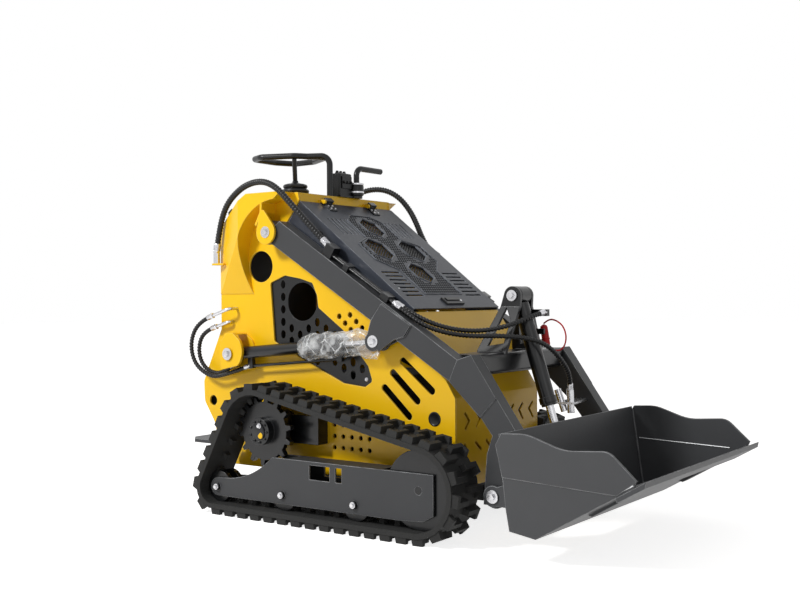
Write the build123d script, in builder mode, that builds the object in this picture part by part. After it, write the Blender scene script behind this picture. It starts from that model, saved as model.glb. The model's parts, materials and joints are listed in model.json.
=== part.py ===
from build123d import *

import math
import os

os.makedirs("parts", exist_ok=True)

# Lengths are in millimetres. +X points ahead to the bucket, +Y to the left, +Z up,
# and the origin lies on the ground under the middle of the machine.

# body shell
body_half = 315            # outer face of each side plate
side_thick = 8
sheet = 5                  # folded covers
panel_inset = 6            # rear panel inside the side plates' edge
seam = 0.3                 # between covers that are bolted together
rear_x = -885
front_x = 320
belly_z = 175
shelf_z = 754              # where the rear edge starts to swell
tail_x = -994              # rearmost point of the side plates
rear_top_z = 1190
roof_z = 1322
roof_back_x = -656
roof_front_x = -443
brow = (279, 579)          # front corner where the nose starts to lean back
chin_z = 513
nose_mid = (250, 650)
nose_top = (134, 832)

# holes in each side plate
shoulder_hole = (-650, 1020, 66)
tie_down = (-937, 442, 22)
plug_hole = (228, 431, 25)
slot_ends = (((84, 643), (216, 536)), ((37, 596), (149, 495)), ((-3, 537), (110, 434)))
slot_width = 30
vent_r = 12
dot_r = 10

# grille behind the opening of each side plate
filter_hole = (-428, 872, 79)
oval_width = 27
oval_height = 37
oval_step_x = 46
oval_step_z = 52

# hood
hood_top = (-430, 1285)
hood_foot = (137, 845)
hood_skirt = 105
hood_gap = 6
hood_angle = math.degrees(math.atan2(hood_foot[1] - hood_top[1], hood_foot[0] - hood_top[0]))
hood_len = math.dist(hood_top, hood_foot)
hinge_rise = 13            # hinge pin above the hood's face
hinge_y = 150              # of each hood hinge, from the middle
hinge_width = 40
hinge_pin_r = 5
louvre_width = 10
mesh_thick = 2
mesh_overlap = 12

# layers at each side, counted out from the side plate
arm_gap = 10
arm_width = 59
ear_gap = 5
ear_thick = 10
plate_proud = 4            # elbow cover over the arm's face
arm_in = body_half + arm_gap
arm_out = arm_in + arm_width
ear_in = arm_out + ear_gap
ear_out = ear_in + ear_thick
arm_mid = (arm_in + arm_out) / 2

# bracket at the rear that carries the loop hose
bracket_z = 1030
bracket_thick = 8
bracket_len = 66
bracket_out = 45

# lift linkage
arm_pivot = (-547, 1158)
barrel_pivot = (-763, 653)
rod_pivot = (-3, 720)
arm_slope = -32.2          # degrees, of the upper arm at rest
arm_top = 70               # top and bottom edges of the upper arm, beside its pivot's line
arm_low = -30
elbow_low = (340, 582)
bucket_pivot = (530, 185)
pin_r = 17
pin_run = 0.05             # running clearance round a pin
arm_boss_r = 50
foot_boss_r = 45
lug_r = 38                 # round ends of the lugs that hold the lift rod
lug_thick = 8
lift_barrel_r = 25
lift_bore_r = 20
lift_rod_r = 13
lift_barrel_len = 600
eye_r = 32
base_eye_r = 36
eye_width = 40
hard_line_r = 6
hard_line_drop = 58        # below the lift cylinder's axis

# tilt linkage
tilt_top = (413, 892)
tilt_foot = (596, 305)
tilt_ear_half = 52         # outer face of the two ears
tilt_ear_thick = 14
tilt_ear_r = 36
tilt_ear_foot = 150        # half spread of the ears where they stand on the cross tube
tilt_ear_knee = 850
tilt_barrel_r = 30
tilt_wall = 6
tilt_barrel_len = 440
tilt_rod_r = 16
cross_back_x = 310
cross_front_x = 436
cross_low_z = 600
cross_top_z = 678

# tracks
track_gap = 30             # from side plate to track
track_width = 180
belt_thick = 20
lug_height = 25
lug_length = 26
lug_foot = 24              # how far the foot of each lug reaches along the belt
lug_foot_width = 26
link_pitch = 72
guide_height = 22
guide_width = 30
guide_length = 26
rear_roller = (-742, 64)   # x and radius
middle_rollers = ((-386, 64), (-24, 64))
front_idler = (269, 147)
sprocket_at = (-515, 350)
sprocket_run_r = 150       # inner face of the belt round the sprocket
tooth_count = 14
wheel_gap = 0.3
groove_depth = 27
axle_r = 15
track_in = body_half + track_gap
track_out = track_in + track_width
track_mid = (track_in + track_out) / 2
ground_line = lug_height + belt_thick

# track frame
frame_half = 50            # half of its width over the plates
frame_thick = 8
frame_top_z = 254
frame_low_z = 75
frame_front_x = 334

# bucket
bucket_half = 550
bucket_side_thick = 8
doubler_thick = 3
bucket_skin = 7
back_top = (636, 428)
back_low = (680, 107)
heel = (779, 92)
lip = (1164, 318)
lip_thick = 16
lip_width = 120

# footboard
board_half = 260
board_rear_x = -1164
board_hinge_x = -905
board_z = 240
board_thick = 16
board_corner = 50
board_hinge_y = (-180, 180)
board_knuckle = 90
board_pin_r = 6
hinge_ear_r = 11
hinge_ear_thick = 8

# engine
engine_size = (430, 360, 400)
engine_x = -190

# controls
ring_z = 1495
tube_r = 13
boot_at = (-600, -150)
boot_r = 46
boot_height = 60
stick_r = 10

# hydraulic lines
loop_hose_r = 12
lift_hose_r = 8.5
tilt_hose_r = 8.5


def save(name, piece):
    piece.label = name
    export_step(piece, f"parts/{name}.step")


def save_pair(name, piece):
    save(f"{name}_right", piece)
    save(f"{name}_left", mirror(piece, about=Plane.XZ))


def face_at(y):
    return Plane.XZ.offset(-y)


def across(x, z, y):
    return Location((x, y, z), (90, 0, 0))


def line_point(start, angle, along, out=0):
    a = math.radians(angle)
    return (start[0] + along * math.cos(a) - out * math.sin(a),
            start[1] + along * math.sin(a) + out * math.cos(a))


def axis_plane(start, end, y):
    dx, dz = end[0] - start[0], end[1] - start[1]
    return Plane(origin=(start[0], y, start[1]), x_dir=(0, 1, 0), z_dir=(dx, 0, dz))


def folded(points, thick):
    # outline of a folded sheet: the given line and a copy of it, thick to its right
    inner = []
    for i, (x, z) in enumerate(points):
        before = points[max(i - 1, 0)]
        after = points[min(i + 1, len(points) - 1)]
        a = math.atan2(z - before[1], x - before[0]) if i else math.atan2(after[1] - z, after[0] - x)
        b = math.atan2(after[1] - z, after[0] - x) if i < len(points) - 1 else a
        mid = (a + b) / 2
        reach = thick / math.cos((b - a) / 2)
        inner.append((x + reach * math.sin(mid), z - reach * math.cos(mid)))
    return [*points, *reversed(inner)]


def tube(points, radius):
    # straight runs joined by tangent arcs, each as large as its two runs allow
    radii = []
    for a, b, c in zip(points, points[1:], points[2:]):
        first, second = Vector(*b) - Vector(*a), Vector(*c) - Vector(*b)
        turn = math.radians(first.get_angle(second))
        radii.append(0.45 * min(first.length, second.length) / math.tan(turn / 2))
    with BuildPart() as hose:
        with BuildLine() as route:
            FilletPolyline(*points, radius=radii)
        with BuildSketch(Plane(origin=route.line @ 0, z_dir=route.line % 0)):
            Circle(radius)
        sweep(path=route.line)
    length = route.wires()[0].length
    print(f"tube of {length:.0f} mm, smallest radius {min(radii):.0f} mm,",
          f"volume over section times length {hose.part.volume / (math.pi * radius ** 2 * length):.4f}")
    return hose.part


hood_pivot = line_point(hood_top, hood_angle, 8, hinge_rise)
hood_plane = Plane(origin=(hood_top[0], 0, hood_top[1]),
                   x_dir=(hood_foot[0] - hood_top[0], 0, hood_foot[1] - hood_top[1]),
                   z_dir=(hood_top[1] - hood_foot[1], 0, hood_foot[0] - hood_top[0]))


def belt_wheels():
    mid = belt_thick / 2
    rear_z = ground_line + rear_roller[1]
    idler_z = ground_line + front_idler[1]
    return [(rear_roller[0], rear_z, rear_roller[1] + mid),
            (front_idler[0], idler_z, front_idler[1] + mid),
            (sprocket_at[0], sprocket_at[1], sprocket_run_r + mid)]


def belt_runs():
    # straight runs and arcs of the belt's middle line, in the order it passes the wheels
    wheels = belt_wheels()
    angles = []
    for i, (x, z, r) in enumerate(wheels):
        nx, nz, nr = wheels[(i + 1) % 3]
        span = math.hypot(nx - x, nz - z)
        angles.append(math.atan2(nz - z, nx - x) + math.asin((r - nr) / span))
    runs = []
    for i, (x, z, r) in enumerate(wheels):
        turn = (angles[i] - angles[i - 1]) % (2 * math.pi)
        runs.append(("arc", x, z, r, angles[i - 1], r * turn))
        nx, nz, nr = wheels[(i + 1) % 3]
        a = angles[i]
        start = (x + r * math.sin(a), z - r * math.cos(a))
        end = (nx + nr * math.sin(a), nz - nr * math.cos(a))
        runs.append(("line", start[0], start[1], 0, a, math.dist(start, end)))
    return runs


def belt_point(s):
    # place and heading on the middle line, s millimetres from the start of the rear bend
    for kind, x, z, r, a, length in belt_runs():
        if s <= length:
            if kind == "line":
                return x + s * math.cos(a), z + s * math.sin(a), a
            heading = a + s / r
            return x + r * math.sin(heading), z - r * math.cos(heading), heading
        s -= length
    return belt_point(0)


def belt_frame(s, out, y):
    x, z, heading = belt_point(s)
    px, pz = x + out * math.sin(heading), z - out * math.cos(heading)
    return Plane(origin=(px, y, pz), x_dir=(math.cos(heading), 0, math.sin(heading)),
                 z_dir=(math.sin(heading), 0, -math.cos(heading)))


belt_length = sum(run[5] for run in belt_runs())
link_count = round(belt_length / link_pitch)
link_step = belt_length / link_count


def belt_outline(out):
    # the belt bends in short flats, each tangent to the round of its wheel
    points = []
    for kind, x, z, r, a, length in belt_runs():
        if kind == "arc":
            turn = length / r
            flats = math.ceil(turn / math.radians(15))
            reach = (r + out) / math.cos(turn / flats / 2)
            for i in range(flats):
                heading = a + (i + 0.5) * turn / flats
                points.append((x + reach * math.sin(heading), z - reach * math.cos(heading)))
    return points


def make_track():
    half = belt_thick / 2
    root = 4
    row = track_width / 4
    with BuildPart() as lug:
        with BuildSketch():
            with BuildLine():
                Polyline((-lug_length / 2, -row + 3), (lug_length / 2, -row + 3),
                         (lug_length / 2, row - lug_foot_width), (lug_length / 2 + lug_foot, row - lug_foot_width),
                         (lug_length / 2 + lug_foot, row - 3), (-lug_length / 2, row - 3), close=True)
            make_face()
        extrude(amount=lug_height + root, taper=7)
    with BuildPart() as guide:
        with BuildSketch():
            Rectangle(guide_length, guide_width)
        extrude(amount=-guide_height - root, taper=8)
    with BuildPart() as track:
        with BuildSketch(face_at(-track_in)):
            with BuildLine():
                Polyline(*belt_outline(half), close=True)
            make_face()
            with BuildLine():
                Polyline(*belt_outline(-half), close=True)
            make_face(mode=Mode.SUBTRACT)
        extrude(amount=track_width)
        for side, shift, turn in ((-1, 0.25, 0), (1, 0.75, 180)):
            y = -track_mid + side * row
            with Locations(*[belt_frame((i + shift) * link_step, half - root, y).location * Location((0, 0, 0), (0, 0, turn))
                             for i in range(link_count)]):
                add(lug.part)
        with Locations(*[belt_frame((i + 0.5) * link_step, root - half, -track_mid).location
                         for i in range(link_count)]):
            add(guide.part)
    return track.part


def make_wheel(x, z, r, half_width, axle_half):
    rim = half_width - guide_width / 2 - 3
    with BuildPart() as wheel:
        with Locations(across(x, z, -track_mid)):
            Cylinder(r - groove_depth, 2 * half_width)
            Cylinder(axle_r, 2 * axle_half)
        for side in (-1, 1):
            with Locations(across(x, z, -track_mid + side * (half_width - rim / 2))):
                Cylinder(r - wheel_gap, rim)
    return wheel.part


# side plates
hood_corner = line_point(hood_top, hood_angle, -hood_gap, -hood_skirt - hood_gap)
hood_chin = line_point(hood_foot, hood_angle, 0, -hood_skirt - hood_gap)
opening_points = [(-598, 951), (-517, 981), (-433, 967), (-367, 948), (-343, 898), (-336, 848), (-209, 759),
                  (-83, 618), (-63, 560), (-100, 536), (-208, 547), (-355, 609), (-576, 705)]
with BuildPart() as side_plate:
    with BuildSketch(face_at(side_thick - body_half)) as outline:
        with BuildLine():
            Polyline((rear_x, shelf_z), (rear_x, rear_top_z), (roof_back_x, roof_z), (roof_front_x, roof_z),
                     line_point(hood_top, hood_angle, -hood_gap), hood_corner, hood_chin,
                     brow, (front_x, chin_z),
                     (front_x, belly_z), (rear_x, belly_z), (-928, 345), (-990, 437), (tail_x, 525), close=True)
        make_face()
        fillet(outline.vertices().sort_by(Axis.X)[0:3], 40)
    extrude(amount=side_thick)
    for x, z, r in (shoulder_hole, tie_down, plug_hole):
        with Locations(across(x, z, -body_half)):
            Hole(r)
    with BuildSketch(face_at(-body_half)):
        for start, end in slot_ends:
            SlotCenterPoint([(start[0] + end[0]) / 2, (start[1] + end[1]) / 2], end, slot_width)
        with Locations((-228, 813), (-173, 819), (-198, 786), (-142, 793), (-169, 760), (-113, 768)):
            RegularPolygon(vent_r, 8)
        with Locations((-167, 334)):
            with GridLocations(44, 46, 5, 3):
                RegularPolygon(dot_r, 8)
    extrude(amount=-side_thick, mode=Mode.SUBTRACT)
    with BuildSketch(face_at(-body_half)) as opening:
        with BuildLine():
            Polyline(*opening_points, close=True)
        make_face()
        fillet(opening.vertices(), 14)
    extrude(amount=-side_thick, mode=Mode.SUBTRACT)
save_pair("side_plate", side_plate.part)

# perforated sheet behind the opening of each side plate
grille_rim = 16
with BuildSketch() as field:
    with BuildLine():
        Polyline(*opening_points, close=True)
    make_face()
    offset(amount=-oval_width / 2 - 4, kind=Kind.INTERSECTION)
low, high = field.sketch.bounding_box().min, field.sketch.bounding_box().max
spots = []
for i in range(math.ceil((high.X - low.X) / oval_step_x) + 1):
    for j in range(math.ceil((high.Y - low.Y) / oval_step_z) + 1):
        x = low.X + i * oval_step_x
        z = low.Y + (j + 0.5 * (i % 2)) * oval_step_z
        beside = math.dist((x, z), filter_hole[:2]) > filter_hole[2] + oval_height / 2 + 4
        if beside and field.sketch.faces()[0].is_inside(Vector(x, z)):
            spots.append((x, z))
with BuildPart() as side_grille:
    with BuildSketch(face_at(side_thick + seam - body_half)) as grille_face:
        with BuildLine():
            Polyline(*opening_points, close=True)
        make_face()
        offset(amount=grille_rim, kind=Kind.INTERSECTION)
        for x, z in spots:
            with Locations((x, z)):
                Polygon(*[(oval_width / 2 * math.cos(a), oval_height / 2 * math.sin(a))
                          for a in (math.radians(22.5 + 45 * k) for k in range(8))], align=None, mode=Mode.SUBTRACT)
        with Locations(filter_hole[:2]):
            Circle(filter_hole[2], mode=Mode.SUBTRACT)
    extrude(amount=-3)
save_pair("side_grille", side_grille.part)

# covers between the side plates
inside = body_half - side_thick
with BuildPart() as rear_panel:
    with Locations((rear_x + sheet / 2 + panel_inset, 0, (belly_z + rear_top_z) / 2)):
        Box(sheet, 2 * inside, rear_top_z - belly_z - 2 * sheet)
save("rear_panel", rear_panel.part)

with BuildPart() as belly_pan:
    with Locations(((rear_x + front_x) / 2, 0, belly_z + sheet / 2)):
        Box(front_x - rear_x - 2 * sheet, 2 * inside, sheet)
save("belly_pan", belly_pan.part)

# front panel with its folded vent slots
vent_width = 12
arrows = [[(-244 + dy, 458), (-210 + dy, 421), (-241 + dy, 386)] for dy in (0, 79, 156)]
arrows += [[(y, 386), (y - 37, 429), (y, 460)] for y in (115, 189, 272)]
dashes = ((-250, 341, -221, 309), (-172, 342, -128, 308), (-92, 341, -51, 305))
with BuildPart() as front_panel:
    with BuildSketch(face_at(inside)):
        with BuildLine():
            Polyline(*folded([nose_mid, brow, (front_x, chin_z), (front_x, belly_z)], sheet), close=True)
        make_face()
    extrude(amount=2 * inside)
    with BuildSketch(Plane.YZ.offset(front_x + 1)):
        for arrow in arrows:
            with BuildLine():
                Polyline(*folded(arrow, vent_width), close=True)
            make_face()
        for y, z, next_y, next_z in dashes:
            for side in (-1, 1):
                with BuildLine():
                    Polyline(*folded([(side * y, z), (side * next_y, next_z)], vent_width), close=True)
                make_face()
    extrude(amount=-sheet - 2, mode=Mode.SUBTRACT)
save("front_panel", front_panel.part)

with BuildPart() as nose_panel:
    with BuildSketch(face_at(inside)):
        with BuildLine():
            Polyline(*folded([(105, 796), nose_top, (200, 740), (nose_mid[0] - 1, nose_mid[1] + 1)], sheet), close=True)
        make_face()
    extrude(amount=2 * inside)
save("nose_panel", nose_panel.part)

hinge_ear_y = hinge_width / 2 + 6
with BuildPart() as console_top:
    with BuildSketch(face_at(inside)):
        with BuildLine():
            Polyline((rear_x, rear_top_z), (roof_back_x, roof_z), (roof_front_x, roof_z),
                     (hood_top[0] - 8, hood_top[1] - 2), (hood_top[0] - 13, hood_top[1] - 2),
                     (roof_front_x - 4, roof_z - sheet), (roof_back_x + 1, roof_z - sheet),
                     (rear_x + sheet, rear_top_z - 2), close=True)
        make_face()
    extrude(amount=2 * inside)
    for y in (-hinge_y, hinge_y):
        with Locations(across(*hood_pivot, y)):
            Cylinder(hinge_pin_r, hinge_width + 20)
        for side in (-1, 1):
            with Locations(across(*hood_pivot, y + side * hinge_ear_y)):
                Cylinder(hinge_pin_r + 4, 10)
            with Locations((hood_pivot[0] - 12, y + side * hinge_ear_y, hood_pivot[1] + 3)):
                Box(24, 10, 12)
save("console_top", console_top.part)

# hood with windows over a mesh, and louvres at its lower corners
windows = ((165, 0, 64), (325, -118, 72), (325, 118, 72), (485, 0, 64))
with BuildPart() as hood:
    with BuildSketch(hood_plane):
        with Locations((hood_len / 2, 0)):
            Rectangle(hood_len, 2 * body_half)
    extrude(amount=-hood_skirt)
    with BuildSketch(hood_plane.offset(-sheet)):
        with Locations((hood_len / 2, 0)):
            Rectangle(hood_len + 10, 2 * (body_half - sheet))
    extrude(amount=-hood_skirt, mode=Mode.SUBTRACT)
    with BuildSketch(hood_plane):
        for u, v, r in windows:
            with Locations((u, v)):
                RegularPolygon(r, 6)
        for side in (-1, 1):
            with Locations((170, side * 195)):
                with GridLocations(0, 27, 1, 5):
                    Rectangle(110, louvre_width)
            with Locations((560, side * 215)):
                with GridLocations(25, 0, 7, 1):
                    Rectangle(louvre_width, 120)
        with Locations((hood_len - 40, 0)):
            Rectangle(26, 110)
    extrude(amount=-sheet, mode=Mode.SUBTRACT)
    for y in (-hinge_y, hinge_y):
        with Locations(across(*hood_pivot, y)):
            Cylinder(hinge_pin_r + 4, hinge_width)
        with Locations(hood_plane.offset(hinge_rise / 2 - 1).location * Location((8, y, 0))):
            Box(2 * hinge_pin_r + 8, hinge_width, hinge_rise)
        with Locations(across(*hood_pivot, y)):
            Cylinder(hinge_pin_r + pin_run, hinge_width + 2, mode=Mode.SUBTRACT)
save("hood", hood.part)

with BuildPart() as hood_mesh:
    with BuildSketch(hood_plane.offset(-sheet - seam)):
        for u, v, r in windows:
            with Locations((u, v)):
                RegularPolygon(r + mesh_overlap, 6)
                with HexLocations(13, 3, 3):
                    RegularPolygon(9, 4, mode=Mode.SUBTRACT)
    extrude(amount=-mesh_thick)
save("hood_mesh", hood_mesh.part)

# shoulders that carry the arm pins
with BuildPart() as shoulder:
    with BuildSketch(face_at(-body_half)):
        with BuildLine():
            Polyline((-690, 905), (rear_x, 905), (rear_x, rear_top_z), (roof_back_x, roof_z), (-462, roof_z), (-504, 1292))
            ThreePointArc((-504, 1292), (-655, 1222), (-719, 1075))
            ThreePointArc((-719, 1075), (-714, 985), (-690, 905))
        make_face()
    extrude(amount=ear_out - body_half)
    with BuildSketch(Plane.XY.offset(880)):
        with BuildLine():
            Polyline((rear_x - 5, -body_half), (-700, -ear_out - 1), (-700, -ear_out - 60),
                     (rear_x - 5, -ear_out - 60), close=True)
        make_face()
    extrude(amount=600, mode=Mode.SUBTRACT)
    with BuildSketch(Plane.YZ.offset(rear_x - 20)):
        with BuildLine():
            Polyline((-body_half, 900), (-ear_out - 1, 1150), (-ear_out - 90, 1150), (-ear_out - 90, 870),
                     (-body_half, 870), close=True)
        make_face()
    extrude(amount=700, mode=Mode.SUBTRACT)
    with BuildSketch(face_at(-ear_in)):
        with Locations(arm_pivot):
            Circle(arm_boss_r)
        with Locations((-562, 1238)):
            Circle(12)
        make_hull()
    extrude(amount=ear_thick)
    with BuildSketch(face_at(-body_half)):
        with BuildLine():
            Polyline(*folded([(-606, 1190), (-577, 1242), (-576, 1280)], 10), close=True)
        make_face()
    extrude(amount=ear_out - body_half)
    with Locations(across(*arm_pivot, -(body_half + ear_out) / 2)):
        Cylinder(pin_r, ear_out - body_half)
    with Locations((rear_x - 10, -body_half, bracket_z)):
        Box(bracket_len, bracket_out, bracket_thick, align=(Align.MIN, Align.MAX, Align.MIN))
save_pair("shoulder", shoulder.part)

# ears that carry the foot of each lift cylinder
with BuildPart() as lower_ear:
    with BuildSketch(face_at(-body_half)):
        with BuildLine():
            Polyline((-712, 604), (-800, 586), (-872, 640), (-842, 690), (-806, 706), (-772, 742), (-738, 742), (-700, 712))
            ThreePointArc((-700, 712), (-684, 655), (-712, 604))
        make_face()
    extrude(amount=ear_out - body_half)
    with BuildSketch(Plane.XY.offset(580)):
        with BuildLine():
            Polyline((-806, -ear_out - 1), (-880, -body_half), (-880, -ear_out - 60), (-806, -ear_out - 60), close=True)
        make_face()
    extrude(amount=200, mode=Mode.SUBTRACT)
    with BuildSketch(Plane.XY.offset(560)):
        with Locations((-706, -arm_mid)):
            Rectangle(212, arm_width + ear_gap)
    extrude(amount=174, mode=Mode.SUBTRACT)
    with Locations(across(*barrel_pivot, -(body_half + ear_out + 6) / 2)):
        Cylinder(pin_r, ear_out + 6 - body_half)
save_pair("lower_ear", lower_ear.part)

# tracks and what they run on
save_pair("track", make_track())

frame_y = frame_half - frame_thick
rollers = [make_wheel(x, ground_line + r, r, frame_y - 4, frame_half + 10)
           for x, r in (rear_roller, *middle_rollers)]
save_pair("bottom_rollers", Compound(children=rollers))
idler_x, idler_r = front_idler
save_pair("front_idler", make_wheel(idler_x, ground_line + idler_r, idler_r, frame_y - 4, frame_half))

rail_top = 240
with BuildPart() as track_frame:
    for y in (-track_mid - frame_half, -track_mid + frame_half - frame_thick):
        with BuildSketch(face_at(y + frame_thick)) as plate:
            with BuildLine():
                Polyline((-742, 72), (-742, 146), (-660, 151))
                ThreePointArc((-660, 151), (-530, 190), (-438, frame_top_z))
                Polyline((-438, frame_top_z), (frame_front_x, frame_top_z), (frame_front_x, 105), (290, 82),
                         (188, frame_low_z), (-742, 72))
            make_face()
            with Locations((rear_roller[0], ground_line + rear_roller[1])):
                Circle(37)
            for low_x, high_x in ((-245, -143), (-115, -84)):
                with Locations(((low_x + high_x) / 2, (184 + rail_top) / 2)):
                    Rectangle(high_x - low_x, rail_top - 184, mode=Mode.SUBTRACT)
        extrude(amount=frame_thick)
    with Locations((100, -track_mid, frame_top_z)):
        Box(466, 2 * frame_half, frame_thick, align=(Align.MAX, Align.CENTER, Align.MAX))
    for x, r in (rear_roller, *middle_rollers, front_idler):
        with Locations(across(x, ground_line + r, -track_mid)):
            Cylinder(axle_r + wheel_gap, 3 * frame_half, mode=Mode.SUBTRACT)
save_pair("track_frame", track_frame.part)

# sprocket: each tooth stands midway between two guide lugs of the belt
tooth_root = 118
tooth_tip = 142
mesh_s = 0
while belt_point(mesh_s)[1] < sprocket_at[1] + sprocket_run_r:
    mesh_s += link_step
tooth_phase = math.degrees(belt_point(mesh_s)[2]) - 90
with BuildPart() as sprocket:
    with BuildSketch(face_at(12 - track_mid)):
        with Locations(sprocket_at):
            Circle(tooth_root)
            with PolarLocations(0, tooth_count, start_angle=tooth_phase):
                Polygon((tooth_root - 6, -13), (tooth_tip, -7), (tooth_tip, 7), (tooth_root - 6, 13), align=None)
    extrude(amount=24)
    with Locations(across(*sprocket_at, -track_mid)):
        Cylinder(55, 90)
save_pair("sprocket", sprocket.part)

motor_end = track_mid - 45 - seam
with BuildPart() as drive_motor:
    with Locations(across(*sprocket_at, -(body_half + motor_end) / 2)):
        Cylinder(75, motor_end - body_half)
    with Locations((-361, -body_half - 30, 358)):
        Box(140, 60, 114)
    with Locations((-450, -body_half - 20, 358)):
        Box(60, 40, 60)
save_pair("drive_motor", drive_motor.part)

with BuildPart() as cross_beams:
    for x in (-330, 90):
        with Locations((x, 0, belly_z - seam - 30)):
            Box(80, 2 * (track_mid - frame_half - seam), 60)
save("cross_beams", cross_beams.part)

with BuildPart() as engine:
    with Locations((engine_x, 0, belly_z + sheet + engine_size[2] / 2)):
        Box(*engine_size)
save("engine", engine.part)

# lift arms
elbow_crest = [line_point(arm_pivot, arm_slope, 1045, arm_top), (434, 680), (457, 646), (537, 530)]
elbow_back = [(472, 458), elbow_low]
with BuildPart() as arm:
    with BuildSketch(face_at(-arm_in)):
        with BuildLine():
            Polyline(line_point(arm_pivot, arm_slope, 30, arm_top), *elbow_crest, (621, 410), (604, 330),
                     (578, 150), (482, 150), (497, 330), (520, 396), *elbow_back,
                     line_point(arm_pivot, arm_slope, 0, arm_low), close=True)
        make_face()
        with Locations(bucket_pivot):
            Circle(foot_boss_r)
        with Locations(arm_pivot):
            Circle(arm_boss_r)
    extrude(amount=arm_width)
    # cover plate on the elbow
    with BuildSketch(face_at(-arm_out)):
        with BuildLine():
            Polyline(*elbow_crest, *elbow_back, close=True)
        make_face()
    extrude(amount=plate_proud)
    # lugs that hold the lift rod's eye between them
    for y, lug in ((-arm_in, [(-34, 737), (10, 800), (92, 760), (92, 728), (30, 702)]),
                   (-arm_out, [(-36, 725), (-12, 801), (36, 864), (172, 784), (142, 741), (96, 728), (26, 683)])):
        with BuildSketch(face_at(y)):
            with BuildLine():
                Polyline(*lug, close=True)
            make_face()
            with Locations(rod_pivot):
                Circle(lug_r)
        extrude(amount=lug_thick)
    for pivot in (arm_pivot, bucket_pivot):
        with Locations(across(*pivot, -arm_mid)):
            Cylinder(pin_r + pin_run, 2 * arm_width, mode=Mode.SUBTRACT)
save_pair("arm", arm.part)

# cross tube between the arms, with the spread ears of the tilt cylinder
with BuildPart() as tilt_ear:
    with BuildSketch(Plane.YZ.offset(cross_back_x)):
        with BuildLine():
            Polyline(*folded([(tilt_ear_half, tilt_top[1] + tilt_ear_r + 2), (tilt_ear_half, tilt_ear_knee),
                              (tilt_ear_foot, cross_top_z - 10)], tilt_ear_thick), close=True)
        make_face()
    extrude(amount=2 * (cross_front_x - cross_back_x))
    with BuildSketch(face_at(2 * tilt_ear_foot)):
        with Locations(tilt_top):
            Circle(tilt_ear_r)
        with Locations(((cross_back_x + cross_front_x) / 2, cross_top_z)):
            Rectangle(cross_front_x - cross_back_x, 20)
        make_hull()
    extrude(amount=2 * tilt_ear_foot, mode=Mode.INTERSECT)
    with BuildSketch(face_at(2 * tilt_ear_foot)):
        with BuildLine():
            Polyline((388, 848), (420, 800), (418, 712), (350, 700), close=True)
        make_face()
    extrude(amount=2 * tilt_ear_foot, mode=Mode.SUBTRACT)

with BuildPart() as cross_member:
    with BuildSketch(face_at(arm_in - seam)) as tube_end:
        with Locations(((cross_back_x + cross_front_x) / 2, (cross_low_z + cross_top_z) / 2)):
            RectangleRounded(cross_front_x - cross_back_x, cross_top_z - cross_low_z, 16)
    extrude(amount=2 * (arm_in - seam))
    add(tilt_ear.part)
    add(mirror(tilt_ear.part, about=Plane.XZ))
    with Locations(across(*tilt_top, 0)):
        Cylinder(pin_r, 2 * tilt_ear_half + 8)
    # port block that takes the upper tilt hose
    with Locations((474, tilt_ear_half, 825)):
        Box(76, 24, 26)
save("cross_member", cross_member.part)

# lift cylinders
rod_reach = math.dist(barrel_pivot, rod_pivot)
lift_line = axis_plane(barrel_pivot, rod_pivot, -arm_mid)
lift_slope = math.degrees(math.atan2(rod_pivot[1] - barrel_pivot[1], rod_pivot[0] - barrel_pivot[0]))
line_start = 90
line_end = lift_barrel_len - 30
with BuildPart() as lift_barrel:
    with BuildSketch(lift_line.offset(34)):
        Circle(lift_barrel_r)
    extrude(amount=lift_barrel_len - 34)
    with BuildSketch(lift_line.offset(lift_barrel_len - 40)):
        Circle(lift_barrel_r + 3)
    extrude(amount=30)
    with Locations(across(*barrel_pivot, -arm_mid)):
        Cylinder(base_eye_r, eye_width + 8)
    # hard line below the barrel, between its two port blocks
    with BuildSketch(lift_line.offset(line_start)):
        with Locations((0, -hard_line_drop)):
            Circle(hard_line_r)
    extrude(amount=line_end - line_start)
    for along in (line_start, line_end):
        with BuildSketch(lift_line.offset(along - 12)):
            with Locations((0, -(lift_barrel_r + hard_line_drop) / 2)):
                Rectangle(20, hard_line_drop - lift_barrel_r + 20)
        extrude(amount=24)
    # base port that takes the lower hose
    with Locations((barrel_pivot[0] + 8, -arm_mid, barrel_pivot[1] - 43)):
        Box(20, 20, 26)
    with BuildSketch(lift_line.offset(60)):
        Circle(lift_bore_r)
    extrude(amount=lift_barrel_len - 90, mode=Mode.SUBTRACT)
    with BuildSketch(lift_line.offset(60)):
        Circle(lift_rod_r + wheel_gap)
    extrude(amount=lift_barrel_len, mode=Mode.SUBTRACT)
    with Locations(across(*barrel_pivot, -arm_mid)):
        Cylinder(pin_r + pin_run, 100, mode=Mode.SUBTRACT)
save_pair("lift_barrel", lift_barrel.part)

with BuildPart() as lift_rod:
    with BuildSketch(lift_line.offset(80)):
        Circle(lift_rod_r)
    extrude(amount=rod_reach - 80)
    with Locations(across(*rod_pivot, -arm_mid)):
        Cylinder(eye_r, eye_width)
    with BuildSketch(lift_line.offset(80)):
        Circle(lift_bore_r - wheel_gap)
    extrude(amount=30)
    with Locations(across(*rod_pivot, -arm_mid)):
        Cylinder(pin_r, 2 * eye_width, mode=Mode.SUBTRACT)
save_pair("lift_rod", lift_rod.part)

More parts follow.
